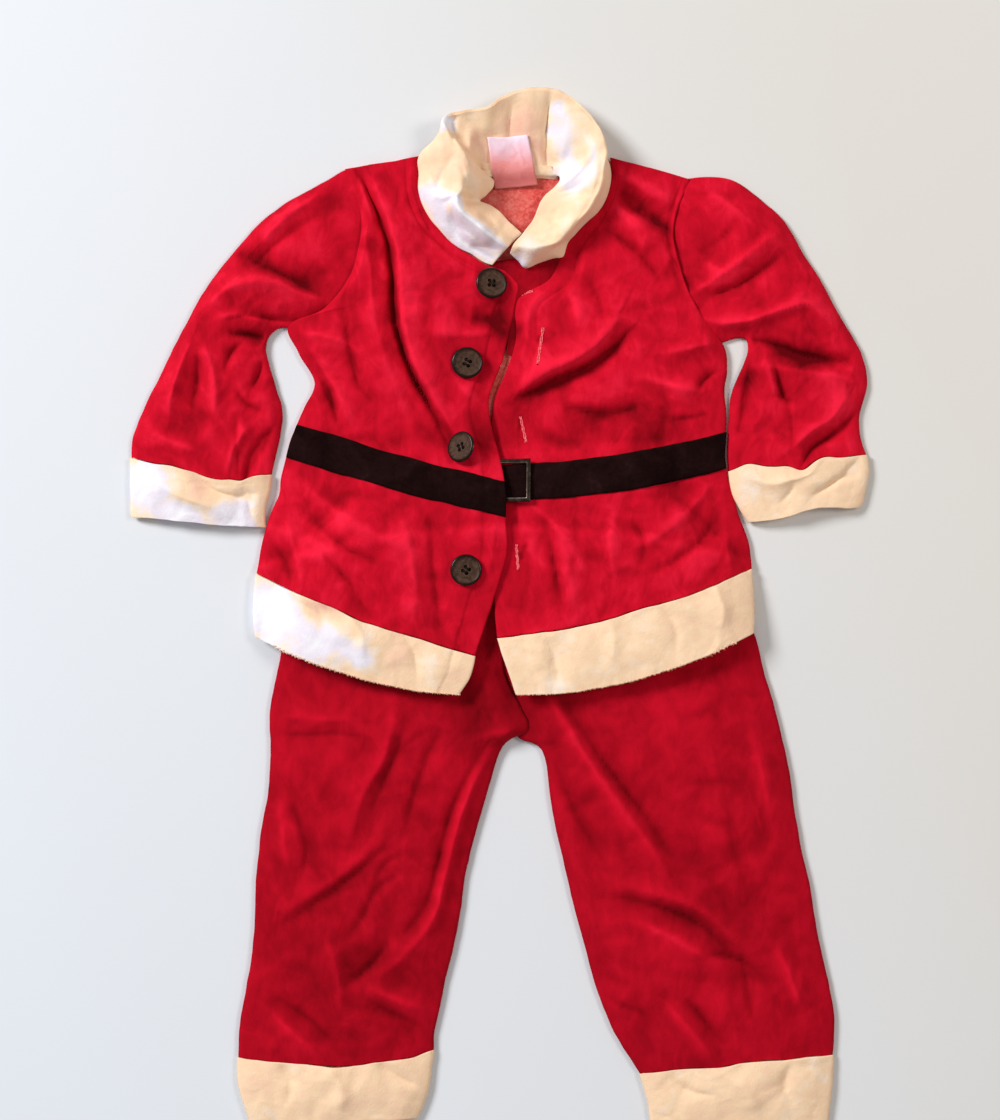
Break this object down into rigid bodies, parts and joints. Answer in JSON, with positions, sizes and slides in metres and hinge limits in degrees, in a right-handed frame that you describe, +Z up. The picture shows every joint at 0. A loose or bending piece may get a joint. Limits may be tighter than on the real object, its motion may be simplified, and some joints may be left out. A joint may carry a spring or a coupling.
{
  "type": "santa suit",
  "caption": "Toddler's red velour Santa jacket and trousers laid out face up, with cream fleece collar, cuffs and hem, black belt and buckle.",
  "frame": {"origin": "middle of the suit's outline on the surface it lies on", "axes": "+X towards the wearer's left side, +Y from the ankles to the collar, +Z up from the surface"},
  "size_m": [0.5206, 0.7274, 0.0295],
  "materials": {
    "velour": "red velour, pile side out",
    "fleece": "cream short-pile fleece",
    "belt_velvet": "black velvet ribbon",
    "buckle_metal": "dark bronzed metal",
    "button": "glossy dark brown",
    "label_tape": "blank woven tape"
  },
  "bodies": {
    "root": {"jacket_back": "velour", "jacket_front_right": "velour", "jacket_front_left": "velour", "sleeve_right": "velour", "sleeve_left": "velour", "leg_front_right": "velour", "leg_front_left": "velour", "leg_back_right": "velour", "leg_back_left": "velour", "waistband": "velour", "collar": "fleece", "cuff_right": "fleece", "cuff_left": "fleece", "hem_back": "fleece", "hem_front_right": "fleece", "hem_front_left": "fleece", "ankle_cuff_right": "fleece", "ankle_cuff_left": "fleece", "belt_right": "belt_velvet", "belt_left": "belt_velvet", "buckle": "buckle_metal", "button_1": "button", "button_2": "button", "button_3": "button", "button_4": "button", "label": "label_tape"}
  },
  "joints": []
}
